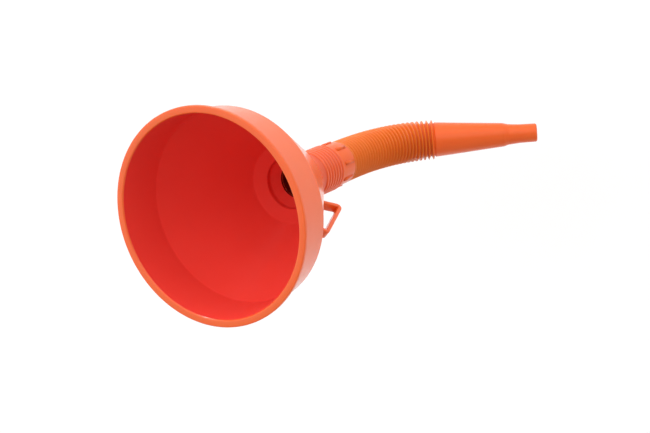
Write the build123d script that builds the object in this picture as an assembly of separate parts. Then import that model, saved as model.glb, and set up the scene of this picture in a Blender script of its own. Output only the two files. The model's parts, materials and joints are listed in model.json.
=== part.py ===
from build123d import *
import math
import os

# A funnel with a flexible spout, mouth upwards.
# Origin: centre of the mouth, in the plane of the lip's top face.
# +Z: out of the mouth along the bowl's axis. +X: the way the spout bends.
# All sizes are in millimetres. Heights are negative below the mouth.

# ---- driving dimensions -------------------------------------------------
MOUTH_D = 160.0          # across the outside of the lip
WALL = 1.7               # wall of the bowl moulding
NOZZLE_WALL = 1.3        # wall of the nozzle

LIP_IN_R = 74.4          # inner edge of the lip
LIP_H = 3.0              # thickness of the lip
LIP_EDGE = 0.5           # bevel round the lip
BAND_H = 34.6            # depth of the upright band under the lip
BAND_TOP_R = 75.9        # outside of the band just under the lip
BAND_LOW_R = 73.0        # outside of the band where the cone begins

CONE_LOW_R = 30.0        # inside of the cone at its lower end
CONE_LOW_Z = -101.0
WELL_R = 19.7            # well under the cone
WELL_Z = -104.5
WELL_H = 3.5             # height of the well's upright wall
THROAT_R = 13.3          # clear bore through the neck and the spout's collar
THROAT_Z = -113.5
LEDGE_T = 1.8            # ledge that stops the spout's spigot

NECK_R = 16.9            # outside of the plain neck
NECK_BORE_R = 15.4       # socket for the spigot
NECK_END_Z = -154.0
RIDGE_N = 7              # grip ridges round the neck
RIDGE_PITCH = 3.64
RIDGE_H = 1.0
RIDGE_FOOT = 1.2         # half width of a ridge where it stands on the neck
RIDGE_TOP = 0.5          # half width of its flat top

GUSSET_N = 4             # webs between the neck and the cone
GUSSET_T = 1.8

HANDLE_AZIMUTH = -45.0   # degrees from +X, halfway between two webs
HANDLE_W = 7.2           # strap width, round the bowl
HANDLE_T = 3.0           # strap thickness
HANDLE_ROOT = (18.5, -105.1)     # radius and height of the end in the well's wall
HANDLE_LOW = (34.4, -131.0)      # lower corner
HANDLE_HIGH = (48.1, -94.8)      # upper corner
HANDLE_ARM_L = 11.3      # from the upper corner square into the cone's wall
HANDLE_CORNER_R = 2.4    # bends at the two corners
HANDLE_EDGE = 0.8        # rounding along the strap

SPIGOT_GAP = 0.2         # radial room of the spigot in the neck
SPIGOT_END_GAP = 0.3     # room between the spigot and the ledge
COLLAR_R = 16.5
COLLAR_END_Z = -171.5
LUG_N = 8                # raised grip lugs round the collar
LUG_PHASE = 12.5         # degrees
LUG_L = 11.5
LUG_W = 3.0
LUG_H = 1.0

RING_N = 28              # convolutions of the flexible hose
RING_PITCH = 3.64
RING_R_FIRST = 16.3      # crest radius beside the collar
RING_R_LAST = 15.55      # crest radius beside the nozzle
ROOT_DEPTH = 2.5         # crest to groove
RING_BORE_R = 12.4
RING_HALF_W = 0.9        # half the width of a convolution at its root
HOSE_TOP_GAP = 0.3       # room between the collar and the first convolution
HOSE_BEND = 59.0         # degrees the hose is bent by, as drawn
BEND_LEAD = 1.0          # makes the bend grow from a little at the collar

NOZZLE_BASE_R = 13.6
NOZZLE_SHOULDER_R = 9.2
NOZZLE_NECK_R = 8.1      # top of the tip tube, under the shoulder
NOZZLE_TIP_R = 7.2
NOZZLE_RIM_L = 1.2       # upright edge where the cone meets the hose
NOZZLE_CONE_L = 54.0     # base to shoulder
NOZZLE_STEP_L = 3.5      # shoulder to tip tube
NOZZLE_TAPER_L = 7.0     # tapered part of the tip tube
NOZZLE_TIP_L = 22.5      # whole tip tube

HOSE_TAIL_R = 14.4       # smooth end of the hose, inside the collar
HOSE_TAIL_L = 8.0
RUNNING_GAP = 0.25       # room of the turning hose end in the collar


# ---- helpers ------------------------------------------------------------
def turned(profile):
    """A solid turned about Z from its (radius, height) outline."""
    outline = Polyline(*[(radius, 0, height) for radius, height in profile], close=True)
    return revolve(make_face(outline), Axis.Z)


def around(shape, count, first=0.0):
    """Copies of a shape, evenly spaced about Z."""
    return [Rot(0, 0, first + 360.0 * turn / count) * shape for turn in range(count)]


def save(name, shape):
    """Write one sub-part to its own file."""
    shape.label = name
    export_step(shape, f"parts/{name}.step")


# ---- bowl ---------------------------------------------------------------
# Lip, band, cone, neck, webs and handle are one moulding. They are separate
# solids here, which meet face to face.
def well_rim_z():
    """Height of the sloping floor's upper face where the well begins."""
    slope = (CONE_LOW_Z - WELL_Z) / (CONE_LOW_R - WELL_R)
    return WELL_Z + WALL * slope


def bowl_shell():
    """Lip, band, cone and the sloping floor round the well."""
    slope = (BAND_LOW_R - WALL - CONE_LOW_R) / (-BAND_H - CONE_LOW_Z)
    cone_wall = WALL * math.hypot(1, slope)
    lip_r = MOUTH_D / 2
    outside = [
        (lip_r - LIP_EDGE, 0),
        (lip_r, -LIP_EDGE),
        (lip_r, -LIP_H + LIP_EDGE),
        (lip_r - LIP_EDGE, -LIP_H),
        (BAND_TOP_R, -LIP_H),
        (BAND_LOW_R, -BAND_H),
        (CONE_LOW_R + cone_wall, CONE_LOW_Z),
        (CONE_LOW_R, CONE_LOW_Z - WALL),
        (WELL_R + WALL, WELL_Z - WALL),
    ]
    inside = [
        (WELL_R + WALL, well_rim_z()),
        (CONE_LOW_R, CONE_LOW_Z),
        (BAND_LOW_R - WALL, -BAND_H - WALL / 2),
        (LIP_IN_R, -2 * LIP_EDGE),
        (LIP_IN_R + LIP_EDGE, 0),
    ]
    return turned(outside + inside)


def ridge_outline():
    """Outer outline of the neck's ridged end, from the top down."""
    points = []
    first = NECK_END_Z + RIDGE_FOOT + (RIDGE_N - 1) * RIDGE_PITCH
    for ridge in range(RIDGE_N):
        crest = first - ridge * RIDGE_PITCH
        points += [
            (NECK_R, crest + RIDGE_FOOT),
            (NECK_R + RIDGE_H, crest + RIDGE_TOP),
            (NECK_R + RIDGE_H, crest - RIDGE_TOP),
        ]
        if ridge < RIDGE_N - 1:
            points.append((NECK_R, crest - RIDGE_FOOT))
    points.append((NECK_R + RIDGE_H / 2, NECK_END_Z))
    return points


def bowl_neck():
    """Well, ledge and ridged socket for the spout."""
    inside = [
        (NECK_BORE_R, NECK_END_Z),
        (NECK_BORE_R, THROAT_Z - LEDGE_T),
        (THROAT_R, THROAT_Z - LEDGE_T),
        (THROAT_R, THROAT_Z),
        (WELL_R, WELL_Z - WELL_H),
        (WELL_R, WELL_Z),
        (WELL_R + WALL, well_rim_z()),
    ]
    outside = [
        (WELL_R + WALL, WELL_Z - WELL_H),
        (NECK_R, THROAT_Z - LEDGE_T),
    ]
    return turned(inside + outside + ridge_outline())


def gusset_web(bowl, neck):
    """One thin web in the corner under the bowl, beside the neck."""
    top = WELL_Z + WALL
    web = Polyline(
        (NECK_BORE_R, 0, top),
        (CONE_LOW_R - 3.0, 0, top),
        (NECK_R, 0, THROAT_Z - 12.0),
        (NECK_BORE_R, 0, THROAT_Z - 12.0),
        close=True,
    )
    plate = extrude(make_face(web), GUSSET_T / 2, dir=(0, 1, 0), both=True)
    return (plate - bowl - neck).solids().sort_by(Axis.Z)[0]


def handle_strap(bowl, neck):
    """A flat strap from the well to a low corner, up to a high one and in to the cone."""
    slope = (BAND_LOW_R - WALL - CONE_LOW_R) / (-BAND_H - CONE_LOW_Z)
    reach = HANDLE_ARM_L / math.hypot(1, slope)
    tip = (HANDLE_HIGH[0] - reach, HANDLE_HIGH[1] + reach * slope)
    stations = [HANDLE_ROOT, HANDLE_LOW, HANDLE_HIGH, tip]
    route = FilletPolyline(*[(radius, 0, height) for radius, height in stations], radius=HANDLE_CORNER_R)
    section = Plane(origin=route @ 0, z_dir=route % 0, x_dir=(0, 1, 0)) * RectangleRounded(
        HANDLE_W, HANDLE_T, HANDLE_EDGE
    )
    strap = Rot(0, 0, HANDLE_AZIMUTH) * sweep(section, path=route)
    return (strap - bowl - neck).solids().sort_by(SortBy.VOLUME)[-1]


# ---- spout --------------------------------------------------------------
def grip_lug():
    """One raised lug on the collar, along its axis."""
    middle_z = (COLLAR_END_Z + NECK_END_Z) / 2 - 1.0
    root = 1.0
    lug = Pos(COLLAR_R + (LUG_H - root) / 2, 0, middle_z) * Box(LUG_H + root, LUG_W, LUG_L)
    return chamfer(lug.faces().sort_by(Axis.X)[-1].edges(), LUG_H / 2)


def spout_collar():
    """Spigot for the neck, sleeve with lugs, and the socket that the hose turns in."""
    spigot_r = NECK_BORE_R - SPIGOT_GAP
    spigot_z = THROAT_Z - LEDGE_T - SPIGOT_END_GAP
    shoulder_z = NECK_END_Z - SPIGOT_GAP
    profile = [
        (THROAT_R, spigot_z),
        (spigot_r - 0.6, spigot_z),
        (spigot_r, spigot_z - 1.2),
        (spigot_r, shoulder_z),
        (COLLAR_R, shoulder_z),
        (COLLAR_R, COLLAR_END_Z + 0.5),
        (COLLAR_R - 0.5, COLLAR_END_Z),
        (HOSE_TAIL_R + RUNNING_GAP, COLLAR_END_Z),
        (HOSE_TAIL_R + RUNNING_GAP, COLLAR_END_Z + HOSE_TAIL_L),
        (THROAT_R, COLLAR_END_Z + HOSE_TAIL_L),
    ]
    collar = turned(profile)
    for lug in around(grip_lug(), LUG_N, LUG_PHASE):
        collar += lug
    return collar


def crest_radius(ring):
    """The hose narrows a little from the collar to the nozzle."""
    return RING_R_FIRST + (RING_R_LAST - RING_R_FIRST) * (ring - 1) / (RING_N - 1)


def bend_after(ring):
    """Degrees between one convolution and the next, as drawn."""
    total = sum(step + BEND_LEAD for step in range(1, RING_N))
    return HOSE_BEND * (ring + BEND_LEAD) / total


def hose_places():
    """Centre (x, z) and tilt of every convolution, along a chain of equal steps."""
    x, z, tilt = 0.0, COLLAR_END_Z - RING_PITCH / 2 - HOSE_TOP_GAP, 0.0
    places = [(x, z, tilt)]
    for ring in range(1, RING_N):
        for half_step in range(2):
            x += RING_PITCH / 2 * math.sin(math.radians(tilt))
            z -= RING_PITCH / 2 * math.cos(math.radians(tilt))
            tilt += bend_after(ring) if half_step == 0 else 0.0
        places.append((x, z, tilt))
    return places


def convolution(ring):
    """One convolution: a crest with two flanks, hollow underneath."""
    crest = crest_radius(ring)
    root = crest - ROOT_DEPTH
    return [
        (RING_BORE_R, RING_HALF_W),
        (root, RING_HALF_W),
        (crest - 0.3, 0.55),
        (crest, 0.3),
        (crest, -0.3),
        (crest - 0.3, -0.55),
        (root, -RING_HALF_W),
        (RING_BORE_R, -RING_HALF_W),
    ]


def hose_tail():
    """The smooth end of the hose, from the first convolution up into the collar."""
    top = RING_PITCH / 2 + HOSE_TOP_GAP + HOSE_TAIL_L - 0.4
    return turned(
        [
            (RING_BORE_R, 0),
            (HOSE_TAIL_R, 0),
            (HOSE_TAIL_R, top),
            (RING_BORE_R, top),
        ]
    )


def hose_ring(ring, place):
    """A convolution where it lies; the first has the tail that turns in the collar."""
    x, z, tilt = place
    body = turned(convolution(ring))
    if ring == 1:
        body += hose_tail()
    return Location((x, 0, z), (0, -tilt, 0)) * body


def spout_nozzle(place):
    """Tapered nozzle with a shoulder and a plain tip tube, in line with the hose's end."""
    x, z, tilt = place
    start = -RING_HALF_W
    rim = start - NOZZLE_RIM_L
    shoulder = rim - NOZZLE_CONE_L
    step = shoulder - NOZZLE_STEP_L
    tip = step - NOZZLE_TIP_L
    profile = [
        (RING_BORE_R, start),
        (NOZZLE_BASE_R - 0.4, start),
        (NOZZLE_BASE_R, rim),
        (NOZZLE_SHOULDER_R, shoulder),
        (NOZZLE_NECK_R, step),
        (NOZZLE_TIP_R, step - NOZZLE_TAPER_L),
        (NOZZLE_TIP_R, tip + 0.8),
        (NOZZLE_TIP_R - 0.6, tip),
        (NOZZLE_TIP_R - NOZZLE_WALL, tip),
        (NOZZLE_TIP_R - NOZZLE_WALL, step),
        (NOZZLE_SHOULDER_R - NOZZLE_WALL, shoulder),
        (NOZZLE_BASE_R - NOZZLE_WALL, rim),
    ]
    return Location((x, 0, z), (0, -tilt, 0)) * turned(profile)


# ---- write every sub-part -----------------------------------------------
os.makedirs("parts", exist_ok=True)
places = hose_places()
bowl = bowl_shell()
neck = bowl_neck()
save("funnel_bowl", bowl)
save("funnel_neck", neck)
for number, web in enumerate(around(gusset_web(bowl, neck), GUSSET_N), start=1):
    save(f"neck_web_{number}", web)
save("handle_strap", handle_strap(bowl, neck))
save("spout_collar", spout_collar())
for number, place in enumerate(places, start=1):
    save(f"hose_ring_{number:02d}", hose_ring(number, place))
save("spout_nozzle", spout_nozzle(places[-1]))
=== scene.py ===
import json
import math

import bpy
import bmesh
from mathutils import Matrix, Vector


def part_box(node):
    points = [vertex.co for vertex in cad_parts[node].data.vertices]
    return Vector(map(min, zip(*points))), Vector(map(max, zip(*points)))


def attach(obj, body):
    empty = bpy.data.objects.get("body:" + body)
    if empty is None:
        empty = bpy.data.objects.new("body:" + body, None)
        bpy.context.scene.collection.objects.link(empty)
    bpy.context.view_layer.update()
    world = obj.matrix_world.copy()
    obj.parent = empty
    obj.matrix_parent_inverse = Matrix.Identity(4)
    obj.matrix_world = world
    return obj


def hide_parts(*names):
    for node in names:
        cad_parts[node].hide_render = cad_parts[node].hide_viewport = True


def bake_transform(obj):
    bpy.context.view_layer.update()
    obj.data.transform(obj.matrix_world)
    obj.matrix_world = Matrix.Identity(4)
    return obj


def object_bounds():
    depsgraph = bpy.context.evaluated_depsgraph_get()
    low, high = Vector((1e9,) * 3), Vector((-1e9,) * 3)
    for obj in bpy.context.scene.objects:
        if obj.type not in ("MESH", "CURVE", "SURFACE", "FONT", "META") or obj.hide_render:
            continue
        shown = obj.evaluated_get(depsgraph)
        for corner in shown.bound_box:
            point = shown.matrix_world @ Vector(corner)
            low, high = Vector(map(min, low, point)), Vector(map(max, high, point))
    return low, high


# A funnel with a flexible spout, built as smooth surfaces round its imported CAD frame.
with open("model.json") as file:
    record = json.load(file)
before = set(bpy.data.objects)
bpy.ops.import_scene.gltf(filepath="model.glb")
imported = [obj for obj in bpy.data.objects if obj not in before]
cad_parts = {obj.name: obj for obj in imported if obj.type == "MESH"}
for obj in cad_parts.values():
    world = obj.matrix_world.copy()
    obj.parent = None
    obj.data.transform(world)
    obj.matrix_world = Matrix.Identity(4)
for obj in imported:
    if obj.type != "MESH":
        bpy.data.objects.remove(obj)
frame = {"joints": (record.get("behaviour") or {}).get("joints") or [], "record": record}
cad_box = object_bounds()

MM = 0.001
RECORD = frame["record"]
JOINTS = {joint["name"]: joint for joint in frame["joints"]}
MOUNTS = {mount["name"]: mount for mount in RECORD["mounts"]}

# ---- driving dimensions, in metres ----------------------------------------
LIP_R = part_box("funnel_bowl")[1][0]
NECK_END_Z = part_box("funnel_neck")[0][2]
COLLAR_LOW, COLLAR_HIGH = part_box("spout_collar")
COLLAR_END_Z = COLLAR_LOW[2]
COLLAR_TOP_Z = COLLAR_HIGH[2]

WALL = 1.7 * MM
LIP_IN_R = 74.4 * MM
LIP_H = 3.0 * MM
LIP_CHAMFER_W = 0.7 * MM
LIP_CHAMFER_H = 1.0 * MM
BAND_H = 34.6 * MM
BAND_TOP_R = 75.9 * MM
BAND_LOW_R = 73.0 * MM
CONE_LOW_R = 30.0 * MM
CONE_LOW_Z = -101.0 * MM
CONE_SLOPE = (BAND_LOW_R - WALL - CONE_LOW_R) / (-BAND_H - CONE_LOW_Z)
WELL_R = 19.7 * MM
WELL_Z = -104.5 * MM
WELL_H = 3.5 * MM
THROAT_R = 13.3 * MM
THROAT_Z = -113.5 * MM
LEDGE_T = 1.8 * MM
NECK_R = 16.9 * MM
NECK_BORE_R = 15.4 * MM
RIDGE_N = 7
RIDGE_PITCH = 3.64 * MM
RIDGE_H = 1.0 * MM
RIDGE_LOW = 1.2 * MM
RIDGE_FOOT = 1.3 * MM
RIDGE_TOP = 0.55 * MM
GUSSET_N = 4
GUSSET_T = 1.8 * MM
GUSSET_L = 12.0 * MM
GUSSET_INSET = 3.0 * MM

HANDLE_AZIMUTH = math.radians(-45.0)
HANDLE_W = 7.2 * MM
HANDLE_T = 3.0 * MM
HANDLE_ROOT = (20.2 * MM, -107.9 * MM)
HANDLE_LOW = (34.4 * MM, -131.0 * MM)
HANDLE_HIGH = (48.1 * MM, -94.8 * MM)
HANDLE_ARM_L = 11.3 * MM
HANDLE_CORNER_R = 2.4 * MM
HANDLE_EDGE = 0.9 * MM

COLLAR_R = 16.5 * MM
SPIGOT_R = 15.2 * MM
SOCKET_R = 14.65 * MM
SOCKET_L = 8.0 * MM
LUG_N = 8
LUG_PHASE = math.radians(12.5)
LUG_L = 11.5 * MM
LUG_W = 3.0 * MM
LUG_H = 1.0 * MM
LUG_ROOT = 0.6 * MM
LUG_EDGE = 0.45 * MM

RING_N = 28
RING_R_FIRST = 16.3 * MM
RING_R_LAST = 15.55 * MM
ROOT_DEPTH = 2.5 * MM
CREST_SHARPNESS = 1.6
HOSE_WALL = 0.75 * MM
TAIL_R = 14.0 * MM
TAIL_L = 7.4 * MM
TAIL_BORE_R = 12.7 * MM

NOZZLE_BASE = 2.1 * MM
NOZZLE_BASE_R = 13.6 * MM
NOZZLE_SHOULDER_R = 9.2 * MM
NOZZLE_NECK_R = 8.1 * MM
NOZZLE_TIP_R = 7.2 * MM
NOZZLE_CONE_L = 54.0 * MM
NOZZLE_STEP_L = 3.5 * MM
NOZZLE_TIP_L = 22.5 * MM
NOZZLE_WALL = 1.3 * MM

# How much painted shade darkens the hose's grooves, at its first fold and at its last.
GROOVE_SHADE_FIRST = 0.1
GROOVE_SHADE_LAST = 0.9

FULL_TURN = 2 * math.pi


# ---- mesh helpers ----------------------------------------------------------
def new_object(name, bm, materials):
    """A smooth-shaded mesh object from a bmesh, with its materials."""
    mesh = bpy.data.meshes.new(name)
    bm.to_mesh(mesh)
    bm.free()
    for material in materials:
        mesh.materials.append(material)
    for polygon in mesh.polygons:
        polygon.use_smooth = True
    obj = bpy.data.objects.new(name, mesh)
    bpy.context.scene.collection.objects.link(obj)
    return obj


def rounded(points, steps=4):
    """An outline of (radius, height, fillet) with its corners rounded by arcs."""
    line = []
    count = len(points)
    for index, (radius, height, fillet) in enumerate(points):
        corner = Vector((radius, height))
        if fillet <= 0:
            line.append(corner)
            continue
        before = Vector(points[index - 1][:2]) - corner
        after = Vector(points[(index + 1) % count][:2]) - corner
        turn = math.pi - before.angle(after)
        reach = fillet * math.tan(turn / 2)
        reach = min(reach, before.length * 0.49, after.length * 0.49)
        start = corner + before.normalized() * reach
        end = corner + after.normalized() * reach
        for step in range(steps + 1):
            t = step / steps
            line.append(start * (1 - t) ** 2 + corner * 2 * t * (1 - t) + end * t * t)
    return line


def ring_of(bm, place, radius, height, segments):
    """One ring of vertices: place turns (radius, height, angle) into a point."""
    return [bm.verts.new(place(radius, height, FULL_TURN * k / segments)) for k in range(segments)]


def skin_rings(bm, rings, closed, slots=None):
    """Faces between neighbouring rings of vertices."""
    pairs = len(rings) if closed else len(rings) - 1
    for index in range(pairs):
        near, far = rings[index], rings[(index + 1) % len(rings)]
        for k in range(len(near)):
            nxt = (k + 1) % len(near)
            face = bm.faces.new((near[k], near[nxt], far[nxt], far[k]))
            if slots:
                face.material_index = slots[index]


def about_z(radius, height, angle):
    """A point at that angle about the bowl's own axis."""
    return Vector((radius * math.cos(angle), radius * math.sin(angle), height))


def paint_groove_shade(obj, values, segments):
    """Stores how much painted shade each ring of vertices gets in its groove, from 0 to 1."""
    layer = obj.data.attributes.new("groove_shade_amount", "FLOAT", "POINT")
    layer.data.foreach_set("value", [value for value in values for _ in range(segments)])


def lathe(name, outline, materials, segments=192, place=about_z, slot_of=None, groove_shade_of=None):
    """A closed turned solid from an outline of (radius, height) points."""
    bm = bmesh.new()
    rings = [ring_of(bm, place, point[0], point[1], segments) for point in outline]
    slots = None
    if slot_of:
        following = outline[1:] + outline[:1]
        slots = [slot_of(here, there) for here, there in zip(outline, following)]
    skin_rings(bm, rings, True, slots)
    bmesh.ops.recalc_face_normals(bm, faces=bm.faces)
    obj = new_object(name, bm, materials)
    # Painted shade: how dark each ring of the outline is painted in its groove.
    if groove_shade_of:
        paint_groove_shade(obj, [groove_shade_of(point) for point in outline], segments)
    return obj


def add_solid(bm, source):
    """Moves another bmesh's geometry into this one."""
    mesh = bpy.data.meshes.new("solid_copy")
    source.to_mesh(mesh)
    source.free()
    bm.from_mesh(mesh)
    bpy.data.meshes.remove(mesh)


def flatten_sharp(obj, degrees):
    """Marks edges sharper than that, so that they shade as corners."""
    bm = bmesh.new()
    bm.from_mesh(obj.data)
    for edge in bm.edges:
        if len(edge.link_faces) == 2 and edge.calc_face_angle() > math.radians(degrees):
            edge.smooth = False
    bm.to_mesh(obj.data)
    bm.free()


# ---- materials --------------------------------------------------------------
CLOUD_SCALE = 22.0
WAVE_SCALE = 60.0
GRAIN_SCALE = 900.0
WAVE_SHARE = 4.0
BUMP_STRENGTH = 0.15
BUMP_HEIGHT = 0.0002
GLOSS_LOW = 0.05
GLOSS_HIGH = 0.07
COAT_ROUGHNESS = 0.13
PLASTIC_IOR = 1.5
SCATTER_COLOR = (1.0, 0.12, 0.04)
SCATTER_DEPTH = 0.002


def noise(tree, coords, scale, detail, seed):
    """Solid noise in the object's own space, different for every seed."""
    node = tree.nodes.new("ShaderNodeTexNoise")
    node.noise_dimensions = "4D"
    node.inputs["Scale"].default_value = scale
    node.inputs["Detail"].default_value = detail
    node.inputs["W"].default_value = seed
    tree.links.new(coords.outputs["Object"], node.inputs["Vector"])
    return node


def plastic(name, light, dark, groove_shade_color, seed, roughness, subsurface=0.0, specular=0.1, coat=0.0):
    """Moulded polyethylene: a little cloudy, finely textured, satin, with painted shade darkening
    its grooves.
    """
    material = bpy.data.materials.new(name)
    material.use_nodes = True
    tree = material.node_tree
    nodes, links = tree.nodes, tree.links
    shader = nodes["Principled BSDF"]
    coords = nodes.new("ShaderNodeTexCoord")

    cloud = noise(tree, coords, CLOUD_SCALE, 3.0, seed)
    ramp = nodes.new("ShaderNodeValToRGB")
    ramp.color_ramp.elements[0].position = 0.3
    ramp.color_ramp.elements[0].color = (*dark, 1)
    ramp.color_ramp.elements[1].position = 0.7
    ramp.color_ramp.elements[1].color = (*light, 1)
    links.new(cloud.outputs["Fac"], ramp.inputs["Fac"])
    # Painted shade: a per-vertex attribute mixes the darker groove colour in where grooves and
    # valleys lie.
    groove_shade_amount = nodes.new("ShaderNodeAttribute")
    groove_shade_amount.attribute_name = "groove_shade_amount"
    mix = nodes.new("ShaderNodeMix")
    mix.data_type = "RGBA"
    for socket in mix.inputs:
        if socket.name == "B" and socket.type == "RGBA":
            socket.default_value = (*groove_shade_color, 1)
        if socket.name == "A" and socket.type == "RGBA":
            links.new(ramp.outputs["Color"], socket)
    links.new(groove_shade_amount.outputs["Fac"], mix.inputs["Factor"])
    result = [socket for socket in mix.outputs if socket.type == "RGBA"][0]
    links.new(result, shader.inputs["Base Color"])

    grain = noise(tree, coords, GRAIN_SCALE, 4.0, seed)
    wave = noise(tree, coords, WAVE_SCALE, 2.0, seed)
    height = nodes.new("ShaderNodeMath")
    height.operation = "MULTIPLY_ADD"
    height.inputs[1].default_value = WAVE_SHARE
    links.new(wave.outputs["Fac"], height.inputs[0])
    links.new(grain.outputs["Fac"], height.inputs[2])
    bump = nodes.new("ShaderNodeBump")
    bump.inputs["Strength"].default_value = BUMP_STRENGTH
    bump.inputs["Distance"].default_value = BUMP_HEIGHT
    links.new(height.outputs["Value"], bump.inputs["Height"])
    links.new(bump.outputs["Normal"], shader.inputs["Normal"])

    gloss = nodes.new("ShaderNodeMapRange")
    gloss.inputs["To Min"].default_value = roughness - GLOSS_LOW
    gloss.inputs["To Max"].default_value = roughness + GLOSS_HIGH
    links.new(wave.outputs["Fac"], gloss.inputs["Value"])
    links.new(gloss.outputs["Result"], shader.inputs["Roughness"])

    shader.inputs["Subsurface Weight"].default_value = subsurface
    shader.inputs["Subsurface Radius"].default_value = SCATTER_COLOR
    shader.inputs["Subsurface Scale"].default_value = SCATTER_DEPTH
    shader.inputs["IOR"].default_value = PLASTIC_IOR
    shader.inputs["Specular IOR Level"].default_value = specular
    shader.inputs["Coat Weight"].default_value = coat
    shader.inputs["Coat Roughness"].default_value = COAT_ROUGHNESS
    return material


# Each plastic's third, darker colour is painted shade for its grooves.
OUTSIDE = plastic(
    "orange_outside",
    light=(0.83, 0.124, 0.019),
    dark=(0.80, 0.112, 0.017),
    groove_shade_color=(0.62, 0.040, 0.008),
    seed=1.0,
    roughness=0.4,
    subsurface=0.2,
    coat=0.7,
)
# Painted shade: the inside is the same plastic as the outside, given here a darker red copy for the
# shade inside the bowl and the red light let in through its cloudy wall.
INSIDE_SHADED = plastic(
    "red_inside_painted_shade",
    light=(0.80, 0.055, 0.040),
    dark=(0.77, 0.051, 0.037),
    groove_shade_color=(0.60, 0.020, 0.020),
    seed=2.0,
    roughness=0.36,
    subsurface=0.15,
    specular=0.03,
)
SPOUT = plastic(
    "orange_spout",
    light=(0.82, 0.122, 0.014),
    dark=(0.79, 0.110, 0.012),
    groove_shade_color=(0.66, 0.052, 0.007),
    seed=3.0,
    roughness=0.4,
    subsurface=0.15,
    coat=0.5,
)
HOSE = plastic(
    "orange_hose",
    light=(0.82, 0.195, 0.026),
    dark=(0.79, 0.177, 0.023),
    groove_shade_color=(0.68, 0.075, 0.010),
    seed=5.0,
    roughness=0.4,
    subsurface=0.15,
    coat=0.5,
)
# Painted shade: a near-black copy of the plastic for the shade down in the bores; the real bores are
# the same plastic as the rest.
BORE_SHADE = plastic(
    "painted_shade_bore",
    light=(0.16, 0.008, 0.005),
    dark=(0.14, 0.006, 0.004),
    groove_shade_color=(0.05, 0.004, 0.002),
    seed=4.0,
    roughness=0.5,
)


# ---- bowl -------------------------------------------------------------------
def ridge_outline():
    """The neck's ridged end, from the top down, as (radius, height, fillet)."""
    points = []
    first = NECK_END_Z + RIDGE_LOW + (RIDGE_N - 1) * RIDGE_PITCH
    for ridge in range(RIDGE_N):
        crest = first - ridge * RIDGE_PITCH
        points.append((NECK_R, crest + RIDGE_FOOT, 0.35 * MM))
        points.append((NECK_R + RIDGE_H, crest + RIDGE_TOP, 0.45 * MM))
        points.append((NECK_R + RIDGE_H, crest - RIDGE_TOP, 0.45 * MM))
        if ridge < RIDGE_N - 1:
            points.append((NECK_R, crest - RIDGE_FOOT, 0.35 * MM))
    points.append((NECK_R + RIDGE_H * 0.7, NECK_END_Z, 0.2 * MM))
    return points


def bowl_outline():
    """The bowl's whole wall, outside from the lip down, then inside up again."""
    cone_wall = WALL * math.hypot(1, CONE_SLOPE)
    outside = [
        (LIP_R, 0.0, 0.9 * MM),
        (LIP_R, -LIP_H, 0.6 * MM),
        (BAND_TOP_R, -LIP_H, 0.8 * MM),
        (BAND_LOW_R, -BAND_H, 1.2 * MM),
        (CONE_LOW_R + cone_wall, CONE_LOW_Z, 2.5 * MM),
        (CONE_LOW_R, CONE_LOW_Z - WALL, 2.0 * MM),
        (WELL_R + WALL, WELL_Z - WALL, 1.2 * MM),
        (WELL_R + WALL, WELL_Z - WELL_H, 1.2 * MM),
        (NECK_R, THROAT_Z - LEDGE_T, 1.5 * MM),
    ]
    inside = [
        (NECK_BORE_R, NECK_END_Z, 0.2 * MM),
        (NECK_BORE_R, THROAT_Z - LEDGE_T, 0),
        (THROAT_R, THROAT_Z - LEDGE_T, 0.2 * MM),
        (THROAT_R, THROAT_Z, 0.8 * MM),
        (WELL_R, WELL_Z - WELL_H, 2.0 * MM),
        (WELL_R, WELL_Z, 1.2 * MM),
        (CONE_LOW_R, CONE_LOW_Z, 2.2 * MM),
        (BAND_LOW_R - WALL, -BAND_H - 0.8 * MM, 3.0 * MM),
        (LIP_IN_R, -LIP_CHAMFER_H, 0.6 * MM),
        (LIP_IN_R + LIP_CHAMFER_W, 0.0, 0.4 * MM),
    ]
    return rounded(outside + ridge_outline() + inside)


def bowl_slot(here, there):
    """0 outside and on the lip, 1 on the inner wall in its painted-shade red copy, 2 down in the
    neck's bore in painted near-black shade.
    """
    middle = (here + there) / 2
    direction = there - here
    if middle.y > -LIP_CHAMFER_H / 2:
        return 0
    if direction.y > 0 and middle.x < LIP_IN_R + 0.2 * MM:
        return 2 if middle.y < THROAT_Z else 1
    if abs(direction.y) < 1e-6 and middle.y < THROAT_Z and middle.x < NECK_BORE_R:
        return 2
    return 0


def ridge_groove_shade(point):
    """Painted shade in the valleys between the neck's ridges, up to 0.6 there, and 0 on their tops
    and elsewhere.
    """
    ridged = NECK_END_Z < point.y < NECK_END_Z + RIDGE_N * RIDGE_PITCH
    if not ridged or point.x < NECK_R - 0.1 * MM:
        return 0.0
    return 0.6 * max(0.0, 1.0 - (point.x - NECK_R) / (0.4 * RIDGE_H))


def gusset_web(bm, angle):
    """One thin rounded web in the corner between the well and the neck."""
    top = WELL_Z - WALL + 0.3 * MM
    outline = rounded(
        [
            (WELL_R + WALL / 2, top, 0),
            (CONE_LOW_R - GUSSET_INSET, top, 0.6 * MM),
            (NECK_R - WALL / 3, THROAT_Z - GUSSET_L, 0.6 * MM),
            (NECK_R - WALL / 3, THROAT_Z - LEDGE_T, 0),
            (WELL_R + WALL / 2, WELL_Z - WELL_H, 0),
        ]
    )
    turn = Matrix.Rotation(angle, 4, "Z")
    sides = []
    for side in (-1, 1):
        offset = side * GUSSET_T / 2
        sides.append([bm.verts.new(turn @ Vector((p.x, offset, p.y))) for p in outline])
    count = len(outline)
    for k in range(count):
        nxt = (k + 1) % count
        bm.faces.new((sides[0][k], sides[0][nxt], sides[1][nxt], sides[1][k]))
    bm.faces.new(sides[0])
    bm.faces.new(list(reversed(sides[1])))


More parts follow.
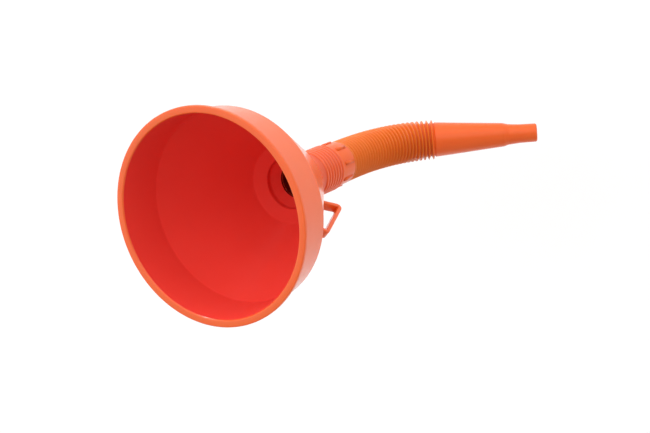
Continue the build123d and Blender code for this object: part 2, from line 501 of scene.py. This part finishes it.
def make_bowl():
    """The bowl with its neck as one turned shell, and the webs under its floor."""
    bowl = lathe(
        "bowl_shell",
        bowl_outline(),
        [OUTSIDE, INSIDE_SHADED, BORE_SHADE],
        segments=224,
        slot_of=bowl_slot,
        groove_shade_of=ridge_groove_shade,
    )
    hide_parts("funnel_bowl", "funnel_neck")
    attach(bowl, "bowl")
    bm = bmesh.new()
    for turn in range(GUSSET_N):
        gusset_web(bm, FULL_TURN * turn / GUSSET_N)
    bmesh.ops.recalc_face_normals(bm, faces=bm.faces)
    webs = new_object("neck_gussets", bm, [OUTSIDE])
    flatten_sharp(webs, 40)
    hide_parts(*[f"neck_web_{number}" for number in range(1, GUSSET_N + 1)])
    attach(webs, "bowl")


def handle_route():
    """The strap's middle line in its own plane, as (radius, height) points."""
    reach = HANDLE_ARM_L / math.hypot(1, CONE_SLOPE)
    tip = (HANDLE_HIGH[0] - reach, HANDLE_HIGH[1] + reach * CONE_SLOPE)
    corners = [
        (*HANDLE_ROOT, 0),
        (*HANDLE_LOW, HANDLE_CORNER_R),
        (*HANDLE_HIGH, HANDLE_CORNER_R),
        (*tip, 0),
    ]
    return rounded(corners, steps=10)


def strap_section(steps=4):
    """Rounded rectangle across the strap: (along its width, through its thickness)."""
    half_w, half_t = HANDLE_W / 2, HANDLE_T / 2
    corners = [(half_w, half_t), (-half_w, half_t), (-half_w, -half_t), (half_w, -half_t)]
    return rounded([(x, y, HANDLE_EDGE) for x, y in corners], steps)


def make_handle():
    """The flat strap from the well round its two corners to the cone."""
    route = handle_route()
    section = strap_section()
    turn = Matrix.Rotation(HANDLE_AZIMUTH, 4, "Z")
    bm = bmesh.new()
    rings = []
    for index, point in enumerate(route):
        ahead = route[min(index + 1, len(route) - 1)] - route[max(index - 1, 0)]
        normal = Vector((ahead.y, -ahead.x)).normalized()
        ring = []
        for across, through in section:
            spot = point + normal * through
            ring.append(bm.verts.new(turn @ Vector((spot.x, across, spot.y))))
        rings.append(ring)
    skin_rings(bm, rings, False)
    bm.faces.new(rings[0])
    bm.faces.new(list(reversed(rings[-1])))
    bmesh.ops.recalc_face_normals(bm, faces=bm.faces)
    strap = new_object("handle_loop", bm, [OUTSIDE])
    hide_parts("handle_strap")
    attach(strap, "bowl")


# ---- collar -----------------------------------------------------------------
def inner_slot(here, there):
    """1 on the walls of the bore, painted near-black as shade, 0 on the outside, for outlines that
    end with the bore.
    """
    return 1 if max(here.x, there.x) < THROAT_R + 0.1 * MM and there.y != here.y else 0


def make_collar():
    """Spigot, sleeve and socket, with raised grip lugs."""
    shoulder_z = NECK_END_Z - 0.2 * MM
    outline = rounded(
        [
            (THROAT_R, COLLAR_TOP_Z, 0.3 * MM),
            (SPIGOT_R, COLLAR_TOP_Z, 0.8 * MM),
            (SPIGOT_R, shoulder_z, 0),
            (COLLAR_R, shoulder_z, 0.3 * MM),
            (COLLAR_R, COLLAR_END_Z, 0.6 * MM),
            (SOCKET_R, COLLAR_END_Z, 0.2 * MM),
            (SOCKET_R, COLLAR_END_Z + SOCKET_L, 0),
            (THROAT_R, COLLAR_END_Z + SOCKET_L, 0.2 * MM),
        ]
    )
    collar = lathe("collar_sleeve", outline, [SPOUT, BORE_SHADE], segments=160, slot_of=inner_slot)
    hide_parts("spout_collar")
    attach(collar, "collar")
    middle_z = (COLLAR_END_Z + NECK_END_Z) / 2 - 1.0 * MM
    bm = bmesh.new()
    for turn in range(LUG_N):
        grip_lug(bm, LUG_PHASE + FULL_TURN * turn / LUG_N, middle_z)
    bmesh.ops.recalc_face_normals(bm, faces=bm.faces)
    lugs = new_object("collar_lugs", bm, [SPOUT])
    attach(lugs, "collar")


def grip_lug(bm, angle, middle_z):
    """One raised lug with soft edges, along the collar."""
    part = bmesh.new()
    bmesh.ops.create_cube(part, size=1.0)
    depth = LUG_H + LUG_ROOT
    bmesh.ops.scale(part, vec=(depth, LUG_W, LUG_L), verts=part.verts)
    bmesh.ops.translate(part, vec=(COLLAR_R + LUG_H - depth / 2, 0, middle_z), verts=part.verts)
    bmesh.ops.bevel(part, geom=part.edges[:], offset=LUG_EDGE, segments=3, affect="EDGES")
    bmesh.ops.rotate(part, matrix=Matrix.Rotation(angle, 3, "Z"), verts=part.verts)
    add_solid(bm, part)


# ---- flexible hose ------------------------------------------------------------
def hose_line():
    """Hinge points between the convolutions, then the centre and heading of each."""
    names = ["hose_bend" if k == RING_N - 1 else f"hose_bend_{k:02d}" for k in range(1, RING_N)]
    hinges = [Vector(JOINTS[name]["pos_m"]) for name in names]
    first_way = Vector((0, 0, -1))
    last_way = Vector(MOUNTS["nozzle_tip"]["axis"]).normalized()
    half = (hinges[1] - hinges[0]).length / 2
    ways = [first_way]
    ways += [(hinges[k + 1] - hinges[k]).normalized() for k in range(RING_N - 2)]
    ways.append(last_way)
    centres = [hinges[0] - first_way * half]
    centres += [(hinges[k] + hinges[k + 1]) / 2 for k in range(RING_N - 2)]
    centres.append(hinges[-1] + last_way * half)
    return hinges, centres, ways


def crest_radius(ring):
    """Outside radius of that convolution, counted from 0 and allowed to be a fraction."""
    return RING_R_FIRST + (RING_R_LAST - RING_R_FIRST) * ring / (RING_N - 1)


def wave_radius(crest, share):
    """Outside radius at that share of the way from one crest to the next."""
    swell = (1 + math.cos(FULL_TURN * share)) / 2
    return crest - ROOT_DEPTH * (1 - swell**CREST_SHARPNESS)


def hose_segment(index, hinges, centres, shares, segments=96):
    """The wall from one crest to the next, bent as a smooth arc, with painted shade in its groove.
    """
    start, hinge, end = centres[index], hinges[index], centres[index + 1]
    across = Vector((0, 1, 0))
    bm = bmesh.new()
    rings = []
    loops = [(share, 0.0) for share in shares] + [(share, HOSE_WALL) for share in reversed(shares)]
    for share, depth in loops:
        left = 1 - share
        middle = start * left**2 + hinge * 2 * share * left + end * share * share
        way = ((hinge - start) * left + (end - hinge) * share).normalized()
        inward = across.cross(way)
        radius = wave_radius(crest_radius(index + share), share) - depth
        ring = []
        for k in range(segments):
            angle = FULL_TURN * k / segments
            outward = inward * math.cos(angle) + across * math.sin(angle)
            ring.append(bm.verts.new(middle + radius * outward))
        rings.append(ring)
    skin_rings(bm, rings, True, [0] * len(shares) + [1] * len(shares))
    bmesh.ops.recalc_face_normals(bm, faces=bm.faces)
    wall = new_object(f"hose_wall_{index + 1:02d}", bm, [HOSE, BORE_SHADE])
    # Painted shade in the groove, stronger towards the nozzle.
    groove_shade_strength = GROOVE_SHADE_FIRST + (GROOVE_SHADE_LAST - GROOVE_SHADE_FIRST) * (index / (RING_N - 2)) ** 2
    groove_shades = [groove_shade_strength * ((1 - math.cos(FULL_TURN * share)) / 2) ** 2 for share in shares]
    paint_groove_shade(wall, groove_shades + [0.0] * len(shares), segments)
    return wall


def make_hose():
    """A wall from each crest to the next; returns each crest's centre and heading."""
    hinges, centres, ways = hose_line()
    steps = 16
    # The extra ring next to each crest makes neighbouring walls shade as one.
    shares = [0.0, 0.01] + [k / steps for k in range(1, steps)] + [0.99, 1.0]
    for index in range(RING_N - 1):
        wall = hose_segment(index, hinges, centres, shares)
        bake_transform(wall)
        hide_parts(f"hose_ring_{index + 1:02d}")
    make_hose_tail(centres[0])
    return centres, ways


def make_hose_tail(centre):
    """The smooth end of the hose that turns in the collar, up to its first crest."""
    pitch_half = centre.z - COLLAR_END_Z
    crest = crest_radius(0)
    root_z = centre.z - pitch_half * 0.9
    outline = rounded(
        [
            (crest, centre.z, 0),
            (crest - 0.1 * MM, centre.z + 0.35 * MM, 0.2 * MM),
            (crest - ROOT_DEPTH, root_z, 0.4 * MM),
            (TAIL_R, root_z, 0),
            (TAIL_R, COLLAR_END_Z + TAIL_L, 0.3 * MM),
            (TAIL_BORE_R, COLLAR_END_Z + TAIL_L, 0.3 * MM),
            (TAIL_BORE_R, root_z, 0.4 * MM),
            (crest - HOSE_WALL, centre.z, 0),
        ]
    )
    tail = lathe("hose_tail", outline, [HOSE, BORE_SHADE], segments=96, slot_of=inner_slot)
    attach(tail, "ring_01")


# ---- nozzle -------------------------------------------------------------------
def make_nozzle(centre, way):
    """Last half convolution, tapered cone, shoulder and rounded tip."""
    across = Vector((0, 1, 0))
    inward = across.cross(way)

    def place(radius, height, angle):
        return centre + way * height + radius * (inward * math.cos(angle) + across * math.sin(angle))

    crest = crest_radius(RING_N - 1)
    base = NOZZLE_BASE
    shoulder = base + NOZZLE_CONE_L
    step = shoulder + NOZZLE_STEP_L
    tip = step + NOZZLE_TIP_L
    outline = rounded(
        [
            (crest, 0.0, 0),
            (crest - 0.15 * MM, 0.45 * MM, 0.3 * MM),
            (crest - ROOT_DEPTH, base - 0.8 * MM, 0.3 * MM),
            (NOZZLE_BASE_R - 0.7 * MM, base - 0.5 * MM, 0.2 * MM),
            (NOZZLE_BASE_R, base + 0.3 * MM, 0.5 * MM),
            (NOZZLE_SHOULDER_R, shoulder, 0.35 * MM),
            (NOZZLE_NECK_R, step, 0.5 * MM),
            (NOZZLE_TIP_R + 0.15 * MM, step + 9.0 * MM, 4.0 * MM),
            (NOZZLE_TIP_R, tip - 1.0 * MM, 0.9 * MM),
            (NOZZLE_TIP_R - 0.6 * MM, tip, 0.5 * MM),
            (NOZZLE_TIP_R - NOZZLE_WALL, tip, 0.4 * MM),
            (NOZZLE_TIP_R - NOZZLE_WALL, step, 0.5 * MM),
            (NOZZLE_SHOULDER_R - NOZZLE_WALL, shoulder, 0.8 * MM),
            (NOZZLE_BASE_R - NOZZLE_WALL, base, 0.5 * MM),
            (crest - ROOT_DEPTH - HOSE_WALL, base - 0.8 * MM, 0.2 * MM),
            (crest - HOSE_WALL, 0.0, 0),
        ]
    )
    # The outline comes back up inside the bore from its narrowest point.
    second_half = outline[len(outline) // 2 :]
    bore_start = outline.index(min(second_half, key=lambda point: point.x))
    bore = {tuple(point) for point in outline[bore_start:]}

    def nozzle_slot(here, there):
        return 1 if tuple(here) in bore else 0

    nozzle = lathe(
        "nozzle_shell",
        outline,
        [SPOUT, BORE_SHADE],
        segments=128,
        place=place,
        slot_of=nozzle_slot,
    )
    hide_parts("spout_nozzle", f"hose_ring_{RING_N:02d}")
    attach(nozzle, "nozzle")


# ---- studio -------------------------------------------------------------------
CAMERA_AIM = Vector((0.0339, -0.0210, -0.0966))
CAMERA_DISTANCE = 1.602
CAMERA_AZIMUTH = math.radians(24.35)
CAMERA_ELEVATION = math.radians(54.50)
CAMERA_ROLL = math.radians(-114.70)
CAMERA_LENS = 121.85
SENSOR_WIDTH = 36.0

LIGHT_AIM = (0, 0, -0.06)
KEY_AZIMUTH = math.radians(114.0)
KEY_DISTANCE = 2.2
KEY_Z = 0.02
KEY_SIZE = 0.6
KEY_POWER = 5.0
THROUGH_SIZE = 0.2
THROUGH_POWER = 3.0
ROOM_DIM = 0.55
ROOM_BRIGHT = 1.60
ROOM_BLEND = 0.25

FLOOR_HALF = 40.0
FLOOR_DROP = 0.12
FLOOR_WHITE = (0.97, 0.97, 0.97, 1)


def make_camera():
    """A long lens above the mouth, turned so that the spout points to the right."""
    data = bpy.data.cameras.new("camera")
    data.lens = CAMERA_LENS
    data.sensor_width = SENSOR_WIDTH
    data.clip_start = 0.05
    camera = bpy.data.objects.new("camera", data)
    bpy.context.scene.collection.objects.link(camera)
    level = math.cos(CAMERA_ELEVATION)
    away = Vector(
        (
            level * math.cos(CAMERA_AZIMUTH),
            level * math.sin(CAMERA_AZIMUTH),
            math.sin(CAMERA_ELEVATION),
        )
    )
    place = Matrix.Translation(CAMERA_AIM + away * CAMERA_DISTANCE)
    look = away.to_track_quat("Z", "Y").to_matrix().to_4x4()
    camera.matrix_world = place @ look @ Matrix.Rotation(CAMERA_ROLL, 4, "Z")
    bpy.context.scene.camera = camera


def area_light(name, place, size, power, shadow=True):
    """A square lamp aimed at the middle of the bowl."""
    data = bpy.data.lights.new(name, "AREA")
    data.size = size
    data.energy = power
    data.use_shadow = shadow
    light = bpy.data.objects.new(name, data)
    light.location = place
    toward = Vector(LIGHT_AIM) - Vector(place)
    light.rotation_euler = toward.to_track_quat("-Z", "Y").to_euler()
    bpy.context.scene.collection.objects.link(light)


def make_floor():
    """A plain white floor below the nozzle, wide enough to reach the horizon."""
    floor_z = cad_box[0][2] - FLOOR_DROP
    bm = bmesh.new()
    bmesh.ops.create_grid(bm, x_segments=1, y_segments=1, size=FLOOR_HALF)
    bmesh.ops.translate(bm, vec=(0, 0, floor_z), verts=bm.verts)
    material = bpy.data.materials.new("floor_white")
    material.use_nodes = True
    shader = material.node_tree.nodes["Principled BSDF"]
    shader.inputs["Base Color"].default_value = FLOOR_WHITE
    shader.inputs["Roughness"].default_value = 0.9
    new_object("studio_floor", bm, [material])


def make_world():
    """A white room, brighter on the side of the key light."""
    world = bpy.data.worlds.new("studio")
    world.use_nodes = True
    nodes, links = world.node_tree.nodes, world.node_tree.links
    background = nodes["Background"]
    background.inputs["Color"].default_value = (1, 1, 1, 1)
    coords = nodes.new("ShaderNodeTexCoord")
    toward = nodes.new("ShaderNodeVectorMath")
    toward.operation = "DOT_PRODUCT"
    toward.inputs[1].default_value = (math.cos(KEY_AZIMUTH), math.sin(KEY_AZIMUTH), 0.0)
    links.new(coords.outputs["Generated"], toward.inputs[0])
    level = nodes.new("ShaderNodeMapRange")
    level.interpolation_type = "SMOOTHSTEP"
    level.inputs["From Min"].default_value = -ROOM_BLEND
    level.inputs["From Max"].default_value = ROOM_BLEND
    level.inputs["To Min"].default_value = ROOM_DIM
    level.inputs["To Max"].default_value = ROOM_BRIGHT
    links.new(toward.outputs["Value"], level.inputs["Value"])
    links.new(level.outputs["Result"], background.inputs["Strength"])
    bpy.context.scene.world = world


def make_studio():
    """Floor, room and lamps. The second lamp stands in for light through the cloudy wall."""
    make_floor()
    make_world()
    key_x = KEY_DISTANCE * math.cos(KEY_AZIMUTH)
    key_y = KEY_DISTANCE * math.sin(KEY_AZIMUTH)
    key_place = (key_x, key_y, KEY_Z)
    area_light("key", key_place, KEY_SIZE, KEY_POWER)
    area_light("key_through_plastic", key_place, THROUGH_SIZE, THROUGH_POWER, shadow=False)
    bpy.context.scene.view_settings.view_transform = "Standard"


make_camera()
make_bowl()
make_handle()
make_collar()
hose_centres, hose_ways = make_hose()
make_nozzle(hose_centres[-1], hose_ways[-1])
make_studio()
